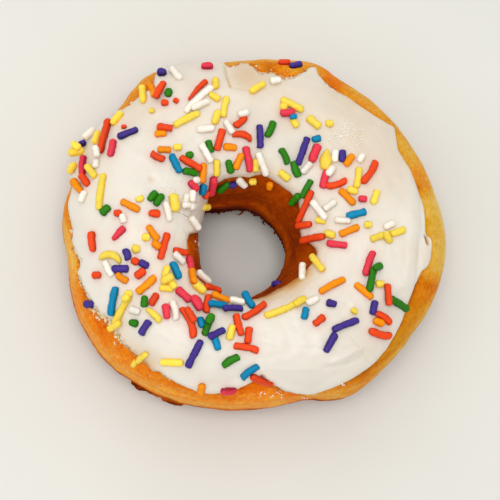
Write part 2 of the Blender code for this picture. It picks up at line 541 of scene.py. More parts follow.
wandering = bearings + WANDER * low_down * rough(bare, 9, 2, seed=70)
fried_side = by_bearing(wandering, FRIED)
fried_side += EVENED * low_down * (USUALLY_FRIED - fried_side)
fried_side += 0.22 * ramp(height, WAIST + 4, WAIST + 11) - 0.08 * hump(height, WAIST, 4.5)
fried_side += 0.50 * ramp(height, 13.5, 9.6)  # the lower face, fried second and for longer
# Painted shade: the hole's wall is set far darker than the side, partly for browning and partly for the
# shade deep in the hole, and darker still low down.
HOLE_FRIED_AND_SHADE, HOLE_RUDDY = 0.86, 0.9
PALE_BEARING = 193  # where the hole's wall is paler
fried_hole = HOLE_FRIED_AND_SHADE - 0.09 * hump(height, 16.5, 1.6) + 0.14 * ramp(height, 13.5, 9.5)
fried_hole -= 0.12 * hump((bearings - PALE_BEARING + 180) % 360 - 180, 0, 12)
SIDE_STREAKS, HOLE_STREAKS = 0.17, 0.045
streak_depth = SIDE_STREAKS * (1 - in_hole) + HOLE_STREAKS * in_hole
fried = fried_side * (1 - in_hole) + fried_hole * in_hole + streak_depth * streaks + 0.05 * patches
ruddy_side = by_bearing(wandering, RUDDY)
ruddy_side += EVENED * low_down * (USUALLY_RUDDY - ruddy_side)
ruddy = ruddy_side * (1 - in_hole) + HOLE_RUDDY * in_hole + 0.15 * patches

# %% The ring's mesh
dough = make_piece("fried_dough", dough_points, grid_faces(SECTION_STEPS, True), crust)
note(dough, "fried", fried)
note(dough, "ruddy", np.clip(ruddy, 0, 1))
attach(dough, "root")
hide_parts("dough")
print("dough:", triangles(dough), "triangles")

# %% [markdown]
# ## Icing
# The coat is a height field over the skin. For each turn it runs from the outer edge to the
# edge in the hole. Where an edge shows from the camera it is read off by bearing, and where it
# is out of sight it is found on the solid icing. The edges are then roughened: where the icing
# was thin and dry it broke away in crumbs, and elsewhere it ended in a smooth rolled lip.

# %% Where the icing ends
SECTION_REACH = 28  # so that no ray gets across the hole to the icing beyond it
scan = np.radians(np.arange(-40, 221, 0.5))
scan_rises = np.broadcast_to(scan, (TURNS, len(scan)))
scanned = cast(icing_tree, *section_rays(scan_rises), SECTION_REACH)
covered = ~np.isnan(scanned[:, 0]).reshape(TURNS, len(scan))
solid_outer = scan[np.argmax(covered, 1)]
solid_inner = scan[len(scan) - 1 - np.argmax(covered[:, ::-1], 1)]

# Pairs of a bearing and how far out the icing shows, in mm. At 47 it goes round out of sight.
OUTER_EDGE = (
    (0, 41.3), (10, 41.3), (20, 40.9), (28, 40.4), (31, 40.5), (35, 41.8), (37.5, 42.6), (39, 42.0),
    (44, 40.9), (52, 40.2), (60, 40.1), (64, 40.4), (68, 41.8), (69.5, 43.2), (71, 43.2), (73, 41.3),
    (76, 39.5), (79, 39.1), (81, 39.3), (84, 39.8), (87.5, 39.3), (90, 40.4), (91.5, 41.4), (95, 41.5),
    (96, 41.0), (99, 41.0), (101, 42.2), (103, 47), (117, 47), (119, 45.6), (120, 45.5), (122, 44.9),
    (124, 43.5), (126, 43.3), (128, 43.6), (130, 43.2), (136, 43.2), (139, 44.6), (141, 47), (162, 47),
    (163.5, 44.9), (167, 44.7), (171, 44.7), (174, 44.3), (179, 43.6), (183, 43.6), (186, 43.0),
    (188.5, 42.2), (191, 42.7), (192.5, 43.3), (198, 42.8), (204, 42.3), (208, 41.5), (211, 40.4),
    (213, 40.2), (216, 41.0), (222, 41.0), (225, 40.8), (228, 41.0), (234, 40.6), (235.2, 39.7),
    (242, 39.6), (250, 39.5), (255, 39.0), (261, 37.7), (267, 36.0), (273, 34.0), (276, 35.7),
    (281, 38.0), (289, 39.8), (297, 40.8), (305, 41.6), (313, 41.9), (321, 41.7), (329, 41.1),
    (337, 40.5), (343, 40.7), (348, 41.2), (349.5, 42.4), (352, 42.8), (357.3, 42.8),
    (358.7, 42.6), (359.3, 42.2), (359.7, 41.5),
)
HOLE_PLACE = np.array([-2.0, -1.0])
INNER_EDGE = (  # the same about that place in the hole
    (0, 13.0), (8, 12.9), (14, 13.4), (25, 13.8), (35, 15.3), (60, 15.2), (75, 15.9), (81, 15.2),
    (86, 14.5), (105, 14.9), (115, 14.6), (125, 13.9), (138, 12.5), (142, 12.0), (149, 11.4), (152, 9),
    (170, 9), (172, 11.6), (175, 13.1), (180, 13.4), (190, 13.4), (200, 14.5), (210, 14.5), (230, 14.2),
    (250, 14.4), (280, 14.3), (290, 13.9), (300, 13.8), (310, 14.2), (320, 14.8), (330, 15.5),
    (338, 16.2), (345, 16.9), (350, 17.1), (353, 16.6), (356, 15.4),
)
LIP_STANDS = 0.75  # mm that the edge's rounded lip stands out from the skin


def edge_as_shown(origin, readings, rises, side, hidden):
    """At each turn, the first of the rises whose skin shows as far out as was read off.

    Side is 1 when the rises go outwards and -1 when they go into the hole. Where the surface
    turns out of sight before the edge is reached, the hidden edge given is kept. The rounded
    lip stands out a little beyond where it meets the skin, so the skin is raised by that.
    """
    points = skin(np.broadcast_to(rises, (TURNS, len(rises))))
    raised = points - side * LIP_STANDS * grid_normals(points, closed=False)
    places = shown_at(raised) - origin
    reach = side * np.hypot(places[..., 0], places[..., 1])
    past = reach - side * by_bearing(bearing_of(places), readings)
    first = np.argmax(past > 0, 1)
    seen = (past > 0).any(1) & (first > 0) & (first < np.argmax(reach, 1))
    row = np.arange(TURNS)
    before, after = past[row, first - 1], past[row, first]
    part = np.clip(before / (before - after + 1e-9), 0, 1)
    edge = rises[first - 1] + (rises[first] - rises[first - 1]) * part
    print("edge in sight at", int(seen.sum()), "of", TURNS, "turns")
    return np.where(seen, edge, hidden)


# %% Edges at every turn
down_outside = np.radians(np.arange(90, -30, -0.6))
down_inside = np.radians(np.arange(90, 225, 0.6))
outer_edge = edge_as_shown(np.zeros(2), OUTER_EDGE, down_outside, 1, solid_outer)
inner_edge = edge_as_shown(HOLE_PLACE, INNER_EDGE, down_inside, -1, solid_inner)


def evened(values, reach):
    """Averages round the ring with neighbours up to reach steps away."""
    kernel = np.hanning(2 * reach + 3)[1:-1]
    kernel /= kernel.sum()
    padded = np.concatenate([values[-reach:], values, values[:reach]])
    return np.convolve(padded, kernel, "valid")


CRUMBLY = (  # at a bearing: 0 is a smooth edge and 1 a crumbly one
    (0, 0.0), (56, 0.1), (64, 0.4), (70, 1), (100, 1), (108, 0.2), (122, 0.9), (134, 0.9), (140, 0.1),
    (172, 0.2), (180, 1), (230, 1), (236, 0.2), (270, 0.1), (276, 0.9), (284, 0.6), (292, 0.3),
    (300, 0.0),
)
EVENING = 2  # turns either side
outer_edge, inner_edge = evened(outer_edge, EVENING), evened(inner_edge, EVENING)
edge_bearings = bearing_of(shown_at(skin(outer_edge[:, None])))[:, 0]
crumbly = by_bearing(edge_bearings, CRUMBLY)
ring_places = outward * RING_RADIUS
SECTION_RADIUS = 17.0  # mm, to turn a length along the skin into a rise
SMOOTH_RAGGED, CRUMBLY_RAGGED = 0.06, 0.34  # mm in and out
outer_edge += (
    (SMOOTH_RAGGED + CRUMBLY_RAGGED * crumbly) * rough(ring_places, 1.1, 3, seed=2)
    + 0.08 * rough(ring_places, 4.0, 1, seed=6)
) / SECTION_RADIUS
inner_edge += 0.16 * rough(outward * 14, 1.6, 2, seed=4) / SECTION_RADIUS
print("icing from", np.degrees(outer_edge.min()).round(), "to", np.degrees(inner_edge.max()).round())

# %% Base of the icing
ICING_ROWS = 124
across = (1 - np.cos(np.linspace(0, math.pi, ICING_ROWS))) / 2
icing_rises = outer_edge[:, None] + (inner_edge - outer_edge)[:, None] * across
icing_skin = skin(icing_rises)
icing_normals = grid_normals(icing_skin, closed=False)
icing_base = icing_skin + icing_normals * (0.8 * relief(icing_skin, icing_rises))[..., None]
steps = np.linalg.norm(np.diff(icing_base, axis=1), axis=-1)
from_outer = np.concatenate([np.zeros((TURNS, 1)), np.cumsum(steps, 1)], 1)
from_inner = from_outer[:, -1:] - from_outer
shown = shown_at(icing_base)
bearings = bearing_of(shown)
print("icing runs", from_inner[:, 0].min().round(1), "to", from_inner[:, 0].max().round(1), "mm")

# %% [markdown]
# The coat is thick where it pooled at the front and thin where it drained off the back and
# into the hole. Thin icing lets the crust show through, so it looks tan. As the skin of the
# icing dried, the softer icing under it crept, and left folds, drag lines, a crack and a slit.
# Sculpting would do it too, but a few soft spots and strokes are easier to move and to read.

# %% Thickness of the icing
ICING_THICKNESS = 1.35  # mm, as are the values down to SLIT_DEPTH
OUTER_LIP, INNER_LIP = 1.3, 2.2  # how wide the rounded edges are
SUNK = 0.6  # how far the coat's underside lies in the dough
THINNED, FLAKED_OFF = 0.55, 0.5  # what a thin spot and a flaky edge lose at most
CRACK_DEPTH, SLIT_DEPTH = 0.5, 2.0
# A spot is x, y, radius and amount. A fold is a path, its width and how far it stands up.
THIN_SPOTS = (
    (-3, 38.0, 4.0, 0.45), (0, 37.0, 4, 0.15), (3, 38.5, 4, 0.15), (-24.7, 13.1, 0.9, 0.45),
    (8, 34, 9, 0.22), (25, 22, 10, 0.30), (22, 33, 6, 0.3), (-28, 31, 7, 0.28), (-38, 20, 5, 0.2),
    (33, 14, 8, 0.2), (-14, 37, 8, 0.12), (-34.5, -22, 3.0, 0.4), (-29.5, -27, 3.0, 0.5),
    (-25.0, -31.2, 3.2, 0.75), (3, -14.2, 4, 0.6), (9, -12.5, 4, 0.6), (12.5, -9, 3.5, 0.5),
    (3, 22, 10, 0.1), (-17, -11, 8, 0.1), (17, 4, 6, 0.15), (38, -5, 4, 0.15), (27, -25, 9, 0.14),
    (-27.5, -29.0, 1.6, 0.4), (-26.0, -30.2, 1.6, 0.4),
)
THICK_SPOTS = (
    (-28, 20.5, 5, 0.25), (-12, -32, 12, 0.25), (-25, -24, 6, 0.3), (12, -33, 10, 0.2),
    (36.5, 2, 5, 0.15), (-20, 12, 5, 0.25), (-4, 25, 6, 0.2),
)
FOLDS = (
    (((36.4, 15), (37.0, 9), (37.4, 1), (37.0, -6), (35.5, -12)), 1.2, 0.30),
    (((38.6, 15), (39.2, 9), (39.5, 2), (39.0, -5), (38.0, -12)), 0.6, -0.28),
    (((1.3, -31.3), (8, -31.6), (15, -31.2)), 0.5, 0.14),
    (((2, -25.8), (8, -26.9), (15, -27.0), (21, -26.9), (24.6, -26.6)), 0.45, -0.15),
    (((18.5, -29.8), (21.5, -28.6), (23.8, -27.2), (25.1, -26.8)), 0.6, 0.42),
    (((17, -30.9), (21.5, -30.6), (25, -28.8)), 0.5, -0.22),
    (((22.8, -24.2), (24.9, -26.2), (26.0, -28.2), (26.9, -29.9)), 0.35, -0.26),
    (((25.6, -26.2), (27.2, -27.2), (28.8, -28.8)), 0.35, -0.20),
    (((-27.2, 25.1), (-25, 24.9), (-22.8, 25.0)), 0.35, -0.12),
    (((-32.5, 22.5), (-30, 19.5), (-26, 18.3), (-22, 19.0)), 0.8, 0.18),
    (((20.0, -15.6), (22.2, -15.3), (23.6, -16.6), (23.2, -18.3)), 0.4, 0.10),
)
SLIT = ((41.15, -0.4), (41.35, -1.2), (41.6, -2.0))
CRACK = ((-6.9, 39.5), (-6.5, 37.4), (-5.7, 35.2), (-3.6, 34.5), (-1.3, 34.2))
BEAD = (  # how thick a bead of icing gathered along the outer edge, at a bearing
    (0, 0.2), (60, 0.0), (170, 0.0), (215, 0.05), (235, 0.65), (265, 0.65), (300, 0.3), (340, 0.2),
)


def lip(distance, width):
    """A quarter of an ellipse: how full the coat is at a distance from its edge."""
    return np.sqrt(1 - (1 - np.clip(distance / width, 0, 1)) ** 2)


# %% Top of the icing
thin = np.clip(spots(shown, THIN_SPOTS), 0, 1)
body = ICING_THICKNESS + 0.18 * rough(icing_base, 9, seed=21)
body += 0.05 * rough(icing_base, 2.6, seed=22)
body += -THINNED * thin + spots(shown, THICK_SPOTS)
body += sum(amount * stroke(shown, path, width) for path, width, amount in FOLDS)
crack = stroke(shown, CRACK[:3], 0.28) + 0.4 * stroke(shown, CRACK[2:], 0.25)  # fades to the right
body -= CRACK_DEPTH * crack
body += by_bearing(bearings, BEAD) * hump(from_outer, 2.0, 1.3)
fullness = lip(from_outer, OUTER_LIP * (1 + 0.5 * crumbly[:, None])) * lip(from_inner, INNER_LIP)
scaling_off = ramp(rough(icing_base, 0.9, 2, seed=60), -0.4, 0.5)
flaky = crumbly[:, None] * ramp(from_outer, 2.4, 0.8) * scaling_off
body -= FLAKED_OFF * flaky
slit = stroke(shown_at(icing_base + icing_normals * LIP_STANDS), SLIT, 0.32)
thickness = -SUNK + (body + SUNK) * fullness - SLIT_DEPTH * slit
icing_top = icing_base + icing_normals * thickness[..., None]
print("icing thickness", np.percentile(body, 5).round(2), "to", np.percentile(body, 95).round(2), "mm")

# %% [markdown]
# ## Sugar strands
# Strands are extruded sugar paste, cut short and waxed: rods about 1.7 mm thick with rounded
# ends, slightly bent and dimpled, and some broken to a point. Scattering them by chance would
# be quicker, but would not give this doughnut its own clusters and bare places. So each is
# read off: where it shows, its heading in degrees anticlockwise from the right and the
# length it shows. A few have a bend in mm, a thickness against the usual one, and a taper that
# points one end.

# %% Where the strands lie
STRANDS = {
    "yellow": (
        (-26.6, 34, 95, 4), (-9.1, 36.6, 90, 2.5), (-9.3, 33.3, -30, 3), (-6.9, 30.9, 80, 5),
        (-8.9, 28.4, 70, 3.5), (-24.4, 30, 0, 1.4, 0, 0.75), (-16.1, 28, 27, 7), (-32.8, 28.2, 50, 4),
        (-37.7, 23.6, 70, 3), (-42.6, 20.2, 10, 3.9, 0, 1.5, 0.4), (-41.9, 21.2, -35, 2.6),
        (-39.1, 15.5, -52, 3.5), (-43.6, 16.2, 60, 3, 0.3), (-36.7, 10.6, 83, 8.9),
        (-27.3, 8.8, 20, 2, 0, 0.8), (-18.9, 7.9, -80, 4.5, 0, 1.35), (-34.3, -5.0, -10, 5.4, 1.1, 1.1),
        (-28.2, -3.2, 0, 2, 0, 1.1), (-25.8, -0.4, 0, 2, 0, 1.1), (-21, -8.9, 78, 3.4),
        (-20.9, -12.6, -5, 3.4, 0, 1.1), (-19.6, -11.8, -60, 2.8), (-20.9, -11.0, 20, 3.2, 0, 1.15),
        (-12.9, -12.5, -42, 3.8, 0, 1.2), (-31.7, -17.9, 62, 8.3), (-32.4, -21.3, 32, 3.2),
        (-23.9, -19.0, -42, 4.7, 0, 1, -0.7), (-29.9, -14.1, 0, 2), (-30.2, -15.2, 30, 2),
        (-5.4, -23.2, 76, 3.8), (-19.6, -30.5, -3, 5.6), (-26.8, -29.3, 42, 3.2, 0, 0.78),
        (-28.6, -30.7, 60, 1.7, 0, 0.72), (1, 35.6, 30, 4.2), (9.3, 31.4, -27, 6.2), (7.2, 30.9, 0, 1.8),
        (9.9, 27.1, -60, 2.6), (14.5, 27.2, -40, 4, 0, 1.15), (18.3, 26.9, 0, 1.9), (-18.3, 21.2, 0, 2.1),
        (-8.8, 16.2, 90, 4.3), (0.5, 16.8, 88, 3.4), (-0.2, 12.9, 0, 1.9), (-11.4, 6.8, 0, 1.9),
        (7.4, 14.4, -40, 3.3, 0, 1.1), (25.1, 13.9, 80, 5), (23.8, 10.8, -20, 2.8), (29.2, 9.2, 72, 3.6),
        (16.1, 3.6, -10, 2.6), (27.5, 2.6, 0, 2), (18.3, 0.3, -20, 2.8), (29.8, -0.35, 20, 3.6),
        (32.2, -0.6, -55, 3.0), (34.7, 0.9, 20, 3.8), (15.2, -6.5, -51, 4.6), (30.4, -11.6, 0, 2.2),
        (6.5, -17.9, 22, 8.2, -0.3), (11.2, -15.9, 34, 3.6, 0, 1.1), (24.2, -18.1, -30, 1.8, 0, 0.8),
        (17.4, 18.3, 85, 5.2, 0, 1.65, 0.9),
    ),
    "orange": (
        (-24.5, 35.6, -60, 3), (-23.5, 34.2, 20, 2.6), (-42.4, 11.9, -52, 3.6, 0, 1.1, 0.5),
        (-29.6, 7.2, -27, 5.2), (-24.2, 0.7, -54, 4.4), (-23.3, -2.2, -40, 2.6), (-31.6, -10.2, -33, 3.4),
        (-25.7, -11.8, 42, 6), (-14.7, -9.9, -85, 3.8), (-7.9, -14.9, -24, 4.8), (-5.6, 21.2, -6, 3.3),
        (-22.3, 24.5, 5, 3), (-21.4, 20.6, 0, 3.3), (-12.1, 15.0, 85, 5), (-3.6, 17.8, 65, 4.4),
        (3.9, 11.9, 80, 1.9), (23, 18.1, 55, 3.4), (22.5, 9.3, -45, 5.2), (23, 1.2, 22, 5.2),
        (18.9, -11.9, 28, 7), (26.5, -13.3, -40, 5.6), (30.1, -20.8, -20, 2.8), (-12.5, -36.9, 80, 2.4),
    ),
    "green": (
        (-20.4, 34.3, 70, 1.9), (-35.6, 6.1, 42, 2.9, 0, 1.15), (-24.2, 9.5, 50, 2.9),
        (-22.7, 8.6, 55, 3.4), (-26.2, -15.8, 86, 2.9), (-28.8, -21, -12, 2.3),
        (-10.9, -21.5, 68, 5.3, 0.4), (-10.7, -20.6, 60, 2.6), (-5.5, -30.1, 30, 4.8),
        (4.1, 25.5, 65, 4.2), (-10.5, 21.4, -75, 3.2), (-15.1, 15.2, -12, 3.8), (-15.3, 19.3, 20, 2),
        (-5.7, 16.5, -75, 3.5), (-7.2, 11.5, 38, 3.6), (7.5, 19.1, -65, 4.3), (10.1, 15.9, -70, 4.2),
        (12.7, 11.2, 62, 5, 0, 0.9), (9.9, 8.6, 47, 3.3), (28.3, -10.6, 78, 6.2), (29.7, -7.7, 28, 2.8),
        (35, -16.4, -33, 5.3),
    ),
    "red": (
        (-22.3, 34.4, 62, 4.6), (-21.3, 31.9, 0, 1.9), (-18.6, 32.4, -30, 1.3, 0, 0.75),
        (-31.1, 26.1, 0, 1.2, 0, 0.6), (-13.5, 35.0, 47, 6.4, 0, 0.8, -0.8), (-35.9, 24.2, 75, 8.2, -0.4),
        (-40.6, 13.4, -55, 3.2), (-32.6, 5.4, 0, 2), (-23.8, 5.3, -5, 3, 0, 1.15, -0.6),
        (-38.8, -1.5, -84, 5, 0, 1.05, 0.5), (-21.5, -2.5, 74, 6.7), (-28.4, -6.2, -25, 2.2),
        (-27.2, -9.1, 38, 3, 0, 1.15), (-37.7, -9.5, 0, 2.1), (-17.4, -3.9, -10, 3.7, 0, 1, 0.4),
        (-9.9, -12.7, -18, 4), (-11.1, -16.3, 82, 4.4), (0.3, -18.1, 34, 6.8, -0.6),
        (-23.9, -15.3, 62, 3.4), (-15.4, -20.7, -68, 8, 0.7), (-15.3, -19.4, -58, 4.2),
        (-3.6, -21.4, -75, 5.4), (-1.2, -23.9, 84, 4), (-1.7, -26.9, -12, 6.2, 0.25),
        (2.0, -34.9, -20, 5.3), (7.4, 41.5, 0, 3), (-3, 27.4, 42, 3.9, -0.3), (-2.6, 24, -15, 4.8, 0.8),
        (-8.1, 23, 75, 5.5), (-21.3, 25.7, -8, 3.9), (-23, 18.9, -25, 3.8), (-15.1, 17.3, -32, 6),
        (-11.3, 9.7, 60, 2.0, 0, 0.95), (20.0, 12.4, 18, 5.4, -0.6), (28, 15.2, 57, 6.4, -0.4),
        (12.2, 6.8, 66, 8.6, 0, 0.9), (12.1, 2.5, 8, 3.4), (14, -0.7, 12, 5.8), (31.9, -14.3, 86, 5.6),
        (15.8, -20.4, 38, 3.4), (31.1, -19.7, -40, 4.3, 0.3), (30.5, -23.7, -14, 5.5, -0.4),
    ),
    "blue": (
        (-18.6, -8.3, -66, 4.6, 0.2), (-1.2, -15.4, -58, 4.6), (-8.6, -16.9, -1, 5.1),
        (-33.8, -15.8, 80, 7.2), (-12.6, -20.8, -72, 2.7), (-8.9, -25.9, -72, 3.6),
        (-0.9, -32.7, 37, 5.2, 0.5), (9.3, 28.2, 10, 1.6, 0, 0.8), (-18.7, 17.3, -63, 5.2),
        (-12.1, 11.0, 82, 2.8), (15.1, 23.2, 15, 2.3), (24.7, 5.2, 14, 5), (12.4, -18.6, 80, 3.1),
    ),
    "pink": (
        (-11.1, 40.7, 0, 2.9), (-34, 21.1, 78, 4.2), (-41.1, 16.8, 87, 4.5),
        (-32.4, 0.5, 47, 4.3, 0, 1, -0.7), (-15.3, -6.7, -78, 3.7, 0, 1.2),
        (-16.7, -14.2, -42, 4.6, 0, 1.1), (-13.6, -16.2, -57, 4.1, 0, 1.25), (-20.9, -18.2, -83, 3.8),
        (-6.0, -37.4, 5, 3.4), (8.2, 29.5, 5, 3.6, 0, 1.1), (-1.3, 18.3, -80, 6.4),
        (-14.4, 11.9, -47, 3.1), (-9.8, 11.7, 78, 4.4, 0, 1.15), (17.1, 13.6, 75, 4.6, 0, 1.05, 0.3),
        (14.7, 19.8, 68, 4.6, 0, 1.25), (26.2, 8.8, 0, 2.2), (20, -2.1, -7, 5.1), (27.7, -6.6, 70, 6.4),
    ),
    "purple": (
        (-22, 39.2, 0, 2.2, 0, 1.15), (-30.2, 24.6, 22, 5.4), (-41.1, 22.1, 30, 2),
        (-30.4, -4.5, -72, 3, 0.4), (-26.3, -6.9, -30, 2.7), (-32, -8, 2, 4.2, 0, 1.1),
        (-39.5, -16.5, 0, 2.3), (-26.1, -22.1, 58, 4.2), (-5.1, -17.8, 9, 5.2, 0, 0.9),
        (-8.9, -23.6, 28, 4.8), (-14.2, -28.4, 63, 7.6), (10.2, 40.9, 12, 2.8), (1.6, 23.8, -88, 5.8),
        (-5.0, 12.2, 0, 1.8), (11.8, 20.3, 70, 7.2), (21.3, 19.1, 85, 3), (5.5, -11.7, 0, 2.1),
        (28.9, -17.3, 78, 3.6), (18.7, -16.3, -12, 2.6), (22.1, -21.4, 22, 6.9, 0.15),
        (18.5, -25.7, 62, 5.3),
    ),
    "white": (
        (-18.7, 38.9, -50, 3.7), (-39.5, 24.5, 43, 3.8), (-13.2, 32.9, 43, 9.0, 0.35),
        (-12.8, 31.2, 28, 4.9), (-36.8, 19.6, 85, 2.2), (-37.8, 17.3, 80, 2.2), (-41, 9.3, 65, 3),
        (-31.3, 4.1, -80, 2.4), (-20.6, 5.8, -76, 5), (-16.2, 8.4, 80, 3.4), (-14, 3.0, -58, 3.8),
        (-14.7, 9.4, 85, 3.2), (-34.9, -7.9, -63, 4.3), (-18, -5.5, -38, 3.7),
        (-11.9, -10, -42, 4.4, 0, 1, 0.4), (-3.9, -15.7, -14, 3.9), (-28.6, -18, -20, 2.9),
        (-18.9, -17.9, -78, 5), (5.3, 37.2, 10, 2.6), (-2.6, 29, 10, 2.8), (-5.9, 26.1, -60, 3.8),
        (-11.4, 19.8, -60, 5.2), (2.1, 17.2, -70, 6.3), (-13.8, 13.3, 0, 1.8), (-2.8, 12.6, -45, 2.8),
        (19.6, 19.1, 85, 3), (12.7, 16.2, 50, 3.5), (18.5, 15.3, 55, 3), (15.7, 6.1, -52, 6),
        (18.4, 7.3, 37, 3.7), (21.4, 3.6, -4, 4.0, 0, 0.9), (32.6, 2.5, 25, 3), (11.7, -8.5, 88, 3.9),
        (14.2, -15.6, 28, 3.4), (-11.5, 25.6, 5, 4.5), (25.8, 18.6, 60, 2.2), (-16.8, 7.2, 0, 1.9),
        (-15.6, 6.8, 0, 1.9),
    ),
}
print("strands:", {colour: len(places) for colour, places in STRANDS.items()})

# %% [markdown]
# A strand lies on whatever is beneath it. Rays from the camera find the spots under its middle
# and near its two ends, and the strand is laid across them, or on the crown between them. On a
# slope it looks shorter than it is, and this works its true length back.

# %% Find each strand's bed
landings = [
    BVHTree.FromPolygons(points.reshape(-1, 3).tolist(), grid_faces(rows, closed))
    for points, rows, closed in ((icing_top, ICING_ROWS, False), (dough_points, SECTION_STEPS, True))
]


def landing(x, y):
    """Point and normal where a place on the sheet lies on the doughnut, or beside its brink."""
    middle_line_radius = 28.0
    for inwards in np.arange(0, 3.0, 0.1):
        far = math.hypot(x, y)
        share = 1 + inwards / far * (1 if far < middle_line_radius else -1)
        line = sight_line(x * share, y * share)
        hits = [tree.ray_cast(Vector(eye_mm), line) for tree in landings]
        hits = [hit for hit in hits if hit[0] is not None]
        if hits:
            break
    spot, normal = min(hits, key=lambda hit: hit[3])[:2]
    return spot, normal if normal.dot(Vector(back_mm)) > 0 else -normal


STRAND_RADIUS = 0.86  # mm
GIRTH_SPREAD = 0.08  # of the radius, from the thinnest to the thickest
SINKS_IN = (0.15, 0.5)  # of the radius, as the icing was wet
STEEPEST_STRETCH = 1.35  # most that a strand on a slope may be longer than it looks
CHIP_GIRTH = 1.2  # a chip broader than this is thinner than it is wide
REST_AT = 0.38  # of the length, from the middle to where a strand touches down
eye_point, back = Vector(eye_mm), Vector(back_mm)


def resting(x, y, raised):
    """How far along its sight line a strand's middle line passes over the doughnut, and the normal."""
    spot, normal = landing(x, y)
    over = raised / max(normal.dot(back), 0.45)
    return (spot - eye_point).dot(sight_line(x, y)) - over, normal


laid = []
for colour, places in STRANDS.items():
    for x, y, heading, shown_length, *rest in places:
        bend, girth, taper = rest + [0, 1, 0][len(rest):]
        radius = STRAND_RADIUS * girth * (1 + GIRTH_SPREAD * (chance.random() - 0.5))
        flatness = min(1.0, CHIP_GIRTH / girth)
        raised = radius * flatness * (1 - chance.uniform(*SINKS_IN))
        angle = math.radians(heading)
        step = np.array([math.cos(angle), math.sin(angle)]) * REST_AT * shown_length
        touches = [resting(x + k * step[0], y + k * step[1], raised) for k in (-1, 0, 1)]
        first, middle, last = (far for far, _ in touches)
        lowered = max(0.0, (first + last) / 2 - middle)  # over a crown only the middle touches
        most = REST_AT * shown_length * 0.9
        slope = float(np.clip((last - first) / 2, -most, most))
        ends = [
            eye_point + sight_line(x + k * step[0], y + k * step[1])
            * ((first + last) / 2 - lowered + k * slope) for k in (-1, 1)
        ]
        lying = (ends[1] - ends[0]).normalized()
        normal = sum((n for _, n in touches), Vector()).normalized()
        normal = (normal - lying * normal.dot(lying)).normalized()
        stretch = min((ends[1] - ends[0]).length / (2 * REST_AT * shown_length), STEEPEST_STRETCH)
        laid.append({
            "colour": colour, "middle": np.array((ends[0] + ends[1]) / 2), "lying": np.array(lying),
            "normal": np.array(normal), "length": max(shown_length * stretch, 2.05 * radius),
            "radius": radius, "flatness": flatness, "bend": bend, "taper": taper, "lift": (0.0, 0.0),
        })
print("laid", len(laid), "strands")

# %% [markdown]
# Where strands cross, the later one rests on the earlier one. Each end is raised by the least
# that lets the strand clear what is under it, so it leans as a real one does. Letting them fall
# in a rigid-body simulation would settle them too, but would also move them from their places.

# %% Lean strands on one another
SAMPLES = np.linspace(-0.5, 0.5, 9)
LIFT_STEPS = 13
LIFT_STEP = 0.2  # mm
OVERLAP = 0.82  # strands press into each other a little
lifts = [(start, end) for start in range(LIFT_STEPS) for end in range(LIFT_STEPS)]
lifts.sort(key=sum)


def middle_line(strand):
    """Sampled points along a strand's middle, short of its round ends, with its lift."""
    straight = strand["length"] - 2 * strand["radius"]
    start, end = strand["lift"]
    lift = start + (end - start) * (SAMPLES + 0.5)
    return (strand["middle"] + np.outer(SAMPLES * straight, strand["lying"])
            + np.outer(lift, strand["normal"]))


for k, strand in enumerate(laid):
    below = []
    for other in laid[:k]:
        apart = np.linalg.norm(other["middle"] - strand["middle"])
        if apart < (other["length"] + strand["length"]) / 2 + 1:
            below.append((middle_line(other), OVERLAP * (other["radius"] + strand["radius"])))
    if not below:
        continue
    line = middle_line(strand)
    needed = np.zeros(len(SAMPLES))
    for other_line, clearance in below:
        offsets = other_line[None] - line[:, None]
        rise = offsets @ strand["normal"]
        beside = np.linalg.norm(offsets - rise[..., None] * strand["normal"], axis=-1)
        over = np.sqrt(np.clip(clearance**2 - beside**2, 0, None)) + rise
        needed = np.maximum(needed, np.where(beside < clearance, over, 0).max(1))
    for start, end in lifts:
        lift = LIFT_STEP * (start + (end - start) * (SAMPLES + 0.5))
        if (lift >= needed - 0.05).all():
            strand["lift"] = (start * LIFT_STEP, end * LIFT_STEP)
            break
print("leaning strands:", sum(max(strand["lift"]) > 0 for strand in laid))

# %% [markdown]
# One strand is a stack of rings along a bent middle line. Its ends close like a squashed
# circle, and small random dimples keep the light from running evenly along it. A curve with a
# round bevel would be simpler, but too even for broken sugar.

# %% Strand shape
STRAND_SIDES = 14
DIMPLE, LUMP = 0.03, 0.045  # of the radius
END_ROWS = (0.02, 0.12, 0.32, 0.62, 1.0)  # of the radius, in from the tip of a round end
ROW_GAP = 0.5  # mm between the rows of the body
SQUARENESS = (2.0, 3.2)  # how an end closes: 2 is round, and more is squarer


def tube_faces(rows, sides):
    """Faces of a tube of rows of points, sides points in each, without its ends."""
    return [
        (r * sides + k, r * sides + (k + 1) % sides, (r + 1) * sides + (k + 1) % sides,
         (r + 1) * sides + k)
        for r in range(rows - 1) for k in range(sides)
    ]


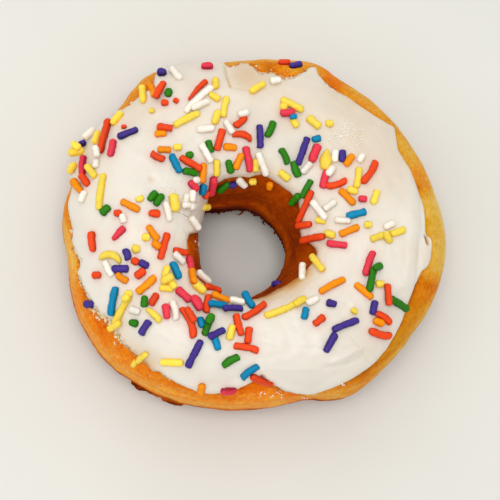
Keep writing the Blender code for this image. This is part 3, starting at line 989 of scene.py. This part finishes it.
def strand_mesh(strand):
    """Points, faces and painted shade on the underside of one bent, dimpled rod with rounded ends."""
    lying, normal, radius = strand["lying"], strand["normal"], strand["radius"]
    length, side = strand["length"], np.cross(strand["normal"], strand["lying"])
    half = length / 2
    from_end = radius * np.array(END_ROWS)
    body_rows = max(3, int((length - 2 * radius) / ROW_GAP))
    inner = np.linspace(from_end[-1], length - from_end[-1], body_rows + 2)[1:-1]
    along = np.concatenate([from_end, inner, length - from_end[::-1]]) - half
    end_gap = half - np.abs(along)
    squareness = np.where(along < 0, chance.uniform(*SQUARENESS), chance.uniform(*SQUARENESS))
    full = (1 - (1 - np.clip(end_gap / (0.85 * radius), 0, 1)) ** squareness) ** (1 / squareness)
    lumps = 1 + LUMP * np.sin(along * chance.uniform(0.9, 2.4) + chance.uniform(0, 6))
    pointed = strand["taper"] * along / half
    narrowing = 1 - np.clip(pointed, 0, 1) * abs(strand["taper"]) * 0.9
    bow = strand["bend"] + chance.normal(0, 0.12) * min(length / 5, 1)
    bend = bow * (1 / 3 - (along / half) ** 2)
    droop = -0.2 * (along / 4) ** 2
    start, end = strand["lift"]
    lift = start + (end - start) * (along / length + 0.5)
    centre = (strand["middle"] + along[:, None] * lying + bend[:, None] * side
              + (droop + lift)[:, None] * normal)
    angles = np.arange(STRAND_SIDES) * math.tau / STRAND_SIDES
    ring = np.cos(angles)[:, None] * side + strand["flatness"] * np.sin(angles)[:, None] * normal
    dimples = chance.standard_normal((len(along), STRAND_SIDES))
    dimples = 1 + DIMPLE * (dimples + np.roll(dimples, 1, 1) + np.roll(dimples, 1, 0))
    reach = radius * (full * lumps * narrowing)[:, None] * dimples
    points = centre[:, None] + ring[None] * reach[..., None]
    tips = centre[[0, -1]] + np.array([[-END_ROWS[0]], [END_ROWS[0]]]) * radius * lying
    # Painted shade: full on the underside and sides of the strand, fading out towards its top.
    foot = np.broadcast_to(ramp(-np.sin(angles), -0.85, 0.2), reach.shape)
    rows, sides = len(along), STRAND_SIDES
    faces = tube_faces(rows, sides)
    last = (rows - 1) * sides
    faces += [(rows * sides, (k + 1) % sides, k) for k in range(sides)]
    faces += [(rows * sides + 1, last + k, last + (k + 1) % sides) for k in range(sides)]
    # Painted shade for every point, and half of it for the two tips.
    painted_underside_shade = np.concatenate([foot.ravel(), [0.5, 0.5]])
    return np.concatenate([points.reshape(-1, 3), tips]), faces, painted_underside_shade


# %% [markdown]
# The sugar is dyed right through and waxed, so it has a strong even colour with a low gloss.
# Painted shade darkens each strand's underside and sides, where it curves away from the light
# and meets the icing. Each strand is a little lighter or darker than the next, and a faint
# cloudiness shows the sugar grain, which is drawn coarser than it is so that it shows.

# %% Waxed sugar material
STRAND_COLOURS = {
    "purple": "#453289", "red": "#f04a18", "orange": "#ff9604", "yellow": "#ffe052",
    "green": "#2d800c", "blue": "#0088b6", "pink": "#ea3c4e", "white": "#fbf3e5",
}
# Painted shade: the darker colours laid on each strand's underside and sides.
SHADED_FOOT_COLOURS = {
    "purple": "#1f0f4a", "red": "#b02506", "orange": "#e06e02", "yellow": "#f5c83a",
    "green": "#0c4a06", "blue": "#034f72", "pink": "#a81638", "white": "#e6dac6",
}


def waxed_sugar(colour):
    made, tree, place = new_material("waxed_sugar_" + colour)
    tone = add(tree, "Attribute", attribute_name="tone").outputs["Fac"]
    painted_underside_shade = add(tree, "Attribute", attribute_name="painted_underside_shade").outputs["Fac"]
    cloud = add(tree, "TexNoise", {"Vector": place, "Scale": per_mm(1.1), "Detail": 3.0}).outputs[0]
    shade = add(tree, "Math", {0: cloud, 1: 0.3, 2: tone}, operation="MULTIPLY_ADD").outputs[0]
    # Mixes the dye colour with the painted shade of the underside.
    dye_and_shade = blend_colours(tree, painted_underside_shade, linear(STRAND_COLOURS[colour]), linear(SHADED_FOOT_COLOURS[colour]))
    tinted = add(tree, "HueSaturation", {"Value": shade, "Color": dye_and_shade})
    bump = add(tree, "Bump", {"Height": cloud, "Strength": 0.3, "Distance": 0.12 * MM})
    finish_material(tree, Base_Color=tinted.outputs[0], Roughness=0.42, Normal=bump.outputs[0],
                    Specular_IOR_Level=0.16, Subsurface_Weight=0.05,
                    Subsurface_Radius=(1.0, 0.7, 0.5), Subsurface_Scale=0.5 * MM)
    return made


# %% Make the strands
USUAL_TONE, TONE_SPREAD = 0.85, 0.05  # brightness, to which the cloudiness adds about 0.15
for colour in STRANDS:
    rods = [strand_mesh(strand) for strand in laid if strand["colour"] == colour]
    points, faces = join([rod[:2] for rod in rods])
    tones = [
        np.full(len(rod[0]), USUAL_TONE + np.clip(chance.normal(0, TONE_SPREAD), -0.12, 0.1))
        for rod in rods
    ]
    piece = make_piece("strands_" + colour, points, faces, waxed_sugar(colour))
    note(piece, "tone", np.concatenate(tones))
    # Painted shade on each strand's underside, for its material to darken.
    note(piece, "painted_underside_shade", np.concatenate([rod[2] for rod in rods]))
    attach(piece, "root")
    print(colour, "strands:", triangles(piece), "triangles")

# %% [markdown]
# ## Icing finish
# Icing of sugar and water sets opaque white with a soft gloss, and light goes a little way in.
# Thin places are tan, from the crust beneath, and the slit is painted dark brown as painted
# shade. Dye from red and pink strands has crept out into the damp icing round them as a faint
# blush.

# %% Blush round the strands
rods = [strand for strand in laid if strand["colour"] in ("red", "pink")]
line_points = np.concatenate([middle_line(strand) for strand in rods])
near_dye = KDTree(len(line_points))
for k, point in enumerate(line_points.tolist()):
    near_dye.insert(point, k)
near_dye.balance()
dye_distance = np.array([near_dye.find(p)[2] for p in icing_top.reshape(-1, 3).tolist()])
blush = hump(dye_distance, 0.8, 1.3).reshape(icing_top.shape[:-1])
print("share of the icing that is blushed:", blush.mean().round(2))

# %% Sugar icing material
def sugar_icing():
    made, tree, place = new_material("set_sugar_icing")
    thin_and_slit_shade = add(tree, "Attribute", attribute_name="thin").outputs["Fac"]
    blushed = add(tree, "Attribute", attribute_name="blush").outputs["Fac"]
    cloud = add(tree, "TexNoise", {"Vector": place, "Scale": per_mm(5), "Detail": 4.0}).outputs[0]
    shifted = add(tree, "Math", {0: cloud, 1: 0.5}, operation="SUBTRACT").outputs[0]
    depth = add(tree, "Math", {0: shifted, 1: 0.3, 2: thin_and_slit_shade}, operation="MULTIPLY_ADD").outputs[0]
    # The darkest stop, dark brown, is painted shade inside the slit.
    colour = stops(tree, depth, (
        (0.0, "#eae3d6"), (0.3, "#e4d5c0"), (0.6, "#dcc09a"), (0.86, "#c98f48"), (1.0, "#6e3408"),
    ))
    strength = add(tree, "Math", {0: blushed, 1: 0.22}, operation="MULTIPLY").outputs[0]
    colour = blend_colours(tree, strength, colour, linear("#f2b8ab"))
    fine = add(tree, "TexNoise", {"Vector": place, "Scale": per_mm(1.6), "Detail": 4.0}).outputs[0]
    bump = add(tree, "Bump", {"Height": fine, "Strength": 0.15, "Distance": 0.1 * MM})
    finish_material(tree, Base_Color=colour, Roughness=0.36, Normal=bump.outputs[0],
                    Specular_IOR_Level=0.3, Subsurface_Weight=0.2, Subsurface_Radius=(1.0, 0.8, 0.6),
                    Subsurface_Scale=1.0 * MM)
    return made


# %% Icing piece
# The coat is closed below by a few rows sunk in the dough, so that its edges have no gap.
UNDER_ROWS = 12
picked = np.linspace(ICING_ROWS - 1, 0, UNDER_ROWS + 2).round().astype(int)[1:-1]
icing_under = icing_base[:, picked] - icing_normals[:, picked] * SUNK
icing_points = np.concatenate([icing_top, icing_under], 1)
icing = make_piece("icing_coat", icing_points, grid_faces(ICING_ROWS + UNDER_ROWS, True), sugar_icing())
edge_thin = 0.25 * ramp(from_outer, 1.2, 0.2) + 0.35 * ramp(from_inner, 5.0, 0.5)
TANNEST = 0.86  # of the way to the dark of the slit
# Painted shade: the slit is pushed past the tannest thin icing, toward the dark brown that ends the
# colour ramp.
tan_and_slit_shade = TANNEST * np.minimum(thin + edge_thin + 0.95 * flaky + 0.5 * crack, 1) + 1.5 * slit
note(icing, "thin", np.concatenate([tan_and_slit_shade, thin[:, picked]], 1))
note(icing, "blush", np.concatenate([blush, blush[:, picked]], 1))
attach(icing, "root")
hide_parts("icing")
print("icing:", triangles(icing), "triangles")

# %% [markdown]
# A thin painted shadow runs along the coat's edge, where the icing's lip shades the crust
# beside it, and painted shade darkens the crust in the slit and along a short shaded stretch of
# edge. It could be painted on a map, but the crust already carries a number for how fried it
# is, so raising that number near the edge draws them.

# %% Painted shadow along the icing's edge
# Painted shadow: a dark line under the icing's lip, darker in the slit and along a short shaded stretch
# of edge, added to the crust's fried number.
SHADED_EDGE = ((41.3, 3.9), (41.5, 0.1))
EDGE_SHADOW_DEPTH = 0.18
painted_edge_shadow = EDGE_SHADOW_DEPTH * hump((outer_edge[:, None] - rises) * SECTION_RADIUS, 0.3, 0.5)
painted_edge_shadow *= 1 - 0.7 * crumbly[:, None]
painted_edge_shadow += 0.7 * stroke(dough_shown, SLIT, 0.6) + 0.3 * stroke(dough_shown, SHADED_EDGE, 0.3)
fried_layer = dough.data.attributes["fried"]
fried_layer.data.foreach_set("value", np.ravel(fried + painted_edge_shadow).astype(np.float32))
print("crust darkened by up to", painted_edge_shadow.max().round(2))

# %% [markdown]
# ## Crumbs and sugar
# Dry glaze broke off along the crumbly stretches of edge and lies there as crumbs, and loose
# sugar clings in a few patches. Dried glaze is brittle and cloudy: tan where crust clings to
# it, and cream where it is clean. Sugar grains are white, with sharp corners that sparkle. A
# particle system would scatter them, but placing each in code keeps them to where they belong.
# Every lump is a subdivided block with its corners knocked about, so that no two are alike.

# %% Lumps
def lump_pattern():
    """Unit directions and faces of a small rounded block."""
    block = bmesh.new()
    bmesh.ops.create_cube(block, size=1.4)
    bmesh.ops.subdivide_edges(block, edges=block.edges, cuts=1, use_grid_fill=True)
    block.verts.ensure_lookup_table()
    points = np.array([v.co[:] for v in block.verts])
    faces = [tuple(v.index for v in face.verts) for face in block.faces]
    block.free()
    return points, faces


BLOCK_POINTS, BLOCK_FACES = lump_pattern()


def lump(place, normal, size, roundness, spread=(0.6, 1.2), flatness=1.0):
    """One lump of about size mm, sitting in the surface at place and as flat as asked."""
    lengths = np.linalg.norm(BLOCK_POINTS, axis=1, keepdims=True)
    shape = BLOCK_POINTS * (1 - roundness + roundness / lengths)
    shape = shape * (1 + 0.22 * chance.standard_normal((len(shape), 1)))
    shape = shape * chance.uniform(*spread, 3)
    turn = Matrix.Rotation(chance.uniform(0, math.tau), 3, Vector(chance.standard_normal(3)).normalized())
    shape = shape @ np.array(turn) * size / 2
    shape = shape - (1 - flatness) * np.outer(shape @ normal, normal)
    return place + normal * size * 0.25 + shape, BLOCK_FACES


# %% Crumbs of glaze
def dried_glaze(name, colours):
    made, tree, place = new_material(name)
    paleness = add(tree, "Attribute", attribute_name="paleness").outputs["Fac"]
    cloud = add(tree, "TexNoise", {"Vector": place, "Scale": per_mm(1.0), "Detail": 3.0}).outputs[0]
    shifted = add(tree, "Math", {0: cloud, 1: 0.5}, operation="SUBTRACT").outputs[0]
    mixed = add(tree, "Math", {0: shifted, 1: 0.8, 2: paleness}, operation="MULTIPLY_ADD").outputs[0]
    colour = stops(tree, mixed, [(k / (len(colours) - 1), c) for k, c in enumerate(colours)])
    finish_material(tree, Base_Color=colour, Roughness=0.45, Specular_IOR_Level=0.2,
                    Subsurface_Weight=0.15, Subsurface_Radius=(1.0, 0.8, 0.5),
                    Subsurface_Scale=0.5 * MM)
    return made


CRUMBS_LIE = (  # at a bearing: how thickly
    (60, 0.0), (69, 0.5), (88, 0.6), (100, 0.2), (118, 0.2), (132, 0.2), (138, 0), (173, 0.0),
    (176, 0.7), (183, 0.8), (187, 0.2), (193, 0.8), (202, 1), (218, 1), (221, 0.1), (232, 0.1),
    (235, 0.7), (243, 0.6), (248, 0.0), (274, 0.0), (277, 0.7), (288, 0.4), (298, 0.0),
)
CRUMBS = 420
CRUMB_RUN, CRUMB_START = 1.0, -0.6  # mm down the crust from the icing's edge
CRUMB_SIZES = (0.32, 0.95)  # mm
NEAR_LEFT = (195, 240)  # bearings where more of them are clean and cream
PALE_THERE, PALE_ELSEWHERE = 0.5, 0.15  # share that is cream
crumbs, paleness = [], []
weights = by_bearing(edge_bearings, CRUMBS_LIE)
for turn in chance.choice(TURNS, CRUMBS, p=weights / weights.sum()):
    drop = abs(chance.normal(0.0, CRUMB_RUN)) + CRUMB_START
    row = np.interp(outer_edge[turn] - drop / SECTION_RADIUS, section, np.arange(SECTION_STEPS))
    low_row = int(np.floor(row)) % SECTION_STEPS
    place = dough_points[turn, low_row] * (1 - row % 1)
    place = place + dough_points[turn, (low_row + 1) % SECTION_STEPS] * (row % 1)
    size = float(np.clip(chance.lognormal(-0.62, 0.3), *CRUMB_SIZES))
    crumbs.append(lump(place, icing_normals[turn, 0], size, roundness=0.5, spread=(0.5, 1.5),
                       flatness=0.6))
    near_left = NEAR_LEFT[0] < edge_bearings[turn] < NEAR_LEFT[1]
    pale = chance.random() < (PALE_THERE if near_left else PALE_ELSEWHERE)
    paleness.append(chance.uniform(0.75, 1.0) if pale else chance.uniform(0.0, 0.5))
points, faces = join(crumbs)
crumb_piece = make_piece("glaze_crumbs", points, faces,
                         dried_glaze("dried_glaze", ("#d97a24", "#e2953c", "#efc47e", "#f6e2b8")))
note(crumb_piece, "paleness", np.repeat(paleness, len(BLOCK_POINTS)))
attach(crumb_piece, "root")
print("crumbs:", triangles(crumb_piece), "triangles")

# %% Loose sugar
SUGAR_PATCHES = (  # x, y, spread in mm and how many grains
    (22.4, 25.2, 2.6, 60), (19.8, 23.4, 1.5, 16), (25.4, 22.4, 1.2, 14), (-19.5, 12.0, 2.8, 26),
    (-15.0, 6.5, 2.2, 20), (-13.2, -2.0, 1.2, 6), (2.3, -38.2, 0.7, 4), (5.0, -37.6, 0.7, 5),
    (6.8, -38.6, 0.5, 3), (21.5, -35.8, 0.5, 4), (12.0, -39.0, 1.2, 3),
)
SUGAR_SIZES = (0.28, 0.55)  # mm, drawn a little coarser than real grains so that they show
grains = []
for x, y, spread, count in SUGAR_PATCHES:
    for dx, dy in chance.normal(0, spread / 1.6, (count, 2)):
        spot, normal = landing(x + dx, y + dy)
        size = chance.uniform(*SUGAR_SIZES)
        grains.append(lump(np.array(spot), np.array(normal), size, roundness=0.2))
points, faces = join(grains)
sugar_piece = make_piece("loose_sugar", points, faces,
                         dried_glaze("loose_sugar", ("#f3ead9", "#fdfaf4")), smooth=False)
note(sugar_piece, "paleness", chance.random(len(points)))
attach(sugar_piece, "root")
print("sugar:", triangles(sugar_piece), "triangles")

# %% [markdown]
# ## Torn flake
# Low on the near side a thin flake of dark crust has lifted where the ring was pulled from its
# neighbour or the rack. It could be carved from the ring's own mesh, but a separate ragged
# ribbon, hardly thicker than card and rooted in the crust, has the fineness that its edge needs.

# %% Flake of crust
FLAKE_STEPS = 120
FLAKE_SPAN = (229.6, 248.6)  # bearings
FLAKE_RISE = math.radians(360 - 33)
FLAKE_REACH, FLAKE_ROOT, RAGGED = 1.7, 0.8, 0.5  # mm out of the crust, in it, and in and out
DROOP = 0.2  # of its reach
FLAKE_SECTION = ((0, 0.5), (0.35, 0.4), (0.7, 0.3), (1, 0.1))  # share of the reach, thickness
flake_bearings = np.linspace(*FLAKE_SPAN, FLAKE_STEPS)
flake_row = int(np.argmin(np.abs(section - FLAKE_RISE)))
row_bearings = bearing_of(dough_shown[:, flake_row])
flake_turns = np.array([np.argmin(np.abs(row_bearings - b)) for b in flake_bearings])
ragged = rough(ring_places[flake_turns], 2.6, 3, seed=50)
root = dough_points[flake_turns, flake_row]
out = outward[flake_turns]
run = np.linspace(0, 1, FLAKE_STEPS)
blunt_ends = ramp(run, -0.01, 0.04) * ramp(run, 1.01, 0.9)
notch = 1 - 0.25 * hump(run, 0.55, 0.03)
reach = (FLAKE_REACH + RAGGED * ragged) * blunt_ends * notch
flake_rows = []
for share, thickness in FLAKE_SECTION:
    middle = root + out * (reach * share - FLAKE_ROOT)[:, None]
    middle[:, 2] -= DROOP * reach * share**2
    flake_rows.append((middle, thickness))
upper = [middle + np.array([0, 0, t / 2]) for middle, t in flake_rows]
lower = [middle - np.array([0, 0, t / 2]) for middle, t in flake_rows][::-1]
flake_points = np.stack(upper + lower, 1)
rows = flake_points.shape[1]
last = (FLAKE_STEPS - 1) * rows
# The faces point into the flake, which renders it darker. Turned out, it would need to be
# more fried for the same look.
flake_faces = [face[::-1] for face in tube_faces(FLAKE_STEPS, rows)]
flake_faces += [tuple(range(rows)), tuple(range(last, last + rows))[::-1]]
flake = make_piece("torn_flake", flake_points, flake_faces, crust)
note(flake, "fried", 0.77 + 0.10 * rough(flake_points, 2.0, 2, seed=51))
note(flake, "ruddy", np.ones(FLAKE_STEPS * rows))
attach(flake, "root")
print("flake:", triangles(flake), "triangles")

# %% [markdown]
# ## Shreds in the hole
# Where the hole was stretched open, a few threads of dough tore loose and curl out over it.
# Hair curves could draw them, but there are only four, so each is a short tapered rod of four
# sides that starts on the torn lip.

# %% Shreds in the hole
SHREDS = (  # places along each, on the sheet; the first is on the torn lip
    ((-2.5, 6.1), (-2.8, 5.4), (-3.4, 4.95), (-4.1, 5.0)),
    ((-7.4, 6.1), (-7.7, 5.6), (-8.3, 5.35)),
    ((2.3, 3.4), (2.3, 2.8), (2.7, 2.35)),
    ((4.9, 0.9), (4.7, 0.5), (4.9, 0.0)),
)
SHRED_RADIUS = 0.21  # mm
shreds = []
for first, *others in SHREDS:
    root = np.array(landing(*first)[0])
    middles = [root] + [root + right_mm * (x - first[0]) + up_mm * (y - first[1]) for x, y in others]
    middles = np.array(middles)
    along = np.gradient(middles, axis=0)
    along /= np.linalg.norm(along, axis=1, keepdims=True)
    beside = np.cross(along, back_mm)
    widths = SHRED_RADIUS * np.linspace(1.4, 0.35, len(middles))
    rings = [middles + beside * (widths * x)[:, None] + back_mm * (widths * y)[:, None]
             for x, y in ((1, 0), (0, -0.7), (-1, 0), (0, 0.7))]
    points = np.stack(rings, 1).reshape(-1, 3)
    last = len(points) - 4
    faces = tube_faces(len(middles), 4) + [(3, 2, 1, 0), (last, last + 1, last + 2, last + 3)]
    shreds.append((points, faces))
points, faces = join(shreds)
shred_piece = make_piece("torn_shreds", points, faces, crust)
note(shred_piece, "fried", np.full(len(points), 0.92))
note(shred_piece, "ruddy", np.full(len(points), 0.8))
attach(shred_piece, "root")
print("shreds:", triangles(shred_piece), "triangles")

# %% [markdown]
# ## Floor and light
# A plain pale floor of matt painted board, three large soft lamps and an even sky, as under a
# tent of white cloth. The lamp almost overhead gives the faint wide shadow, the other two soften
# it, and light reaches down into the hole. A small lamp would cut hard shadows.

# %% Floor
FLOOR_SIZE = 3000.0  # mm


def pale_floor():
    made, tree, place = new_material("pale_floor")
    cloud = add(tree, "TexNoise", {"Vector": place, "Scale": per_mm(60), "Detail": 2.0}).outputs[0]
    colour = stops(tree, cloud, ((0.3, "#e1e0d8"), (0.7, "#e5e4dc")))
    finish_material(tree, Base_Color=colour, Roughness=0.6)
    return made


corners = np.array([(-1, -1, 0), (1, -1, 0), (1, 1, 0), (-1, 1, 0)]) * FLOOR_SIZE / 2
floor = make_piece("floor", corners, [(0, 1, 2, 3)], pale_floor(), smooth=False)
print("floor:", FLOOR_SIZE / 1000, "m across")

# %% Light
LAMPS = (  # name, place in metres, size across in metres and power in watts
    ("overhead_lamp", (-0.11, -0.15, 1.15), 0.6, 5.0),
    ("left_lamp", (-0.65, -0.35, 0.95), 1.1, 1.7),
    ("far_lamp", (-0.18, 0.68, 0.95), 1.1, 2.0),
)
SKY_STRENGTH = 0.56
for name, place, size, power in LAMPS:
    lamp = bpy.data.objects.new(name, bpy.data.lights.new(name, "AREA"))
    lamp.data.shape = "DISK"
    lamp.data.size = size
    lamp.data.energy = power
    lamp.location = place
    lamp.rotation_euler = (Vector(place) - aim).to_track_quat("Z", "Y").to_euler()
    bpy.context.scene.collection.objects.link(lamp)
sky = bpy.data.worlds.new("sky")
sky.use_nodes = True
sky.node_tree.nodes["Background"].inputs["Color"].default_value = linear("#ffffff")
sky.node_tree.nodes["Background"].inputs["Strength"].default_value = SKY_STRENGTH
bpy.context.scene.world = sky
bpy.context.scene.view_settings.view_transform = "Standard"
print("lamps:", len(LAMPS))
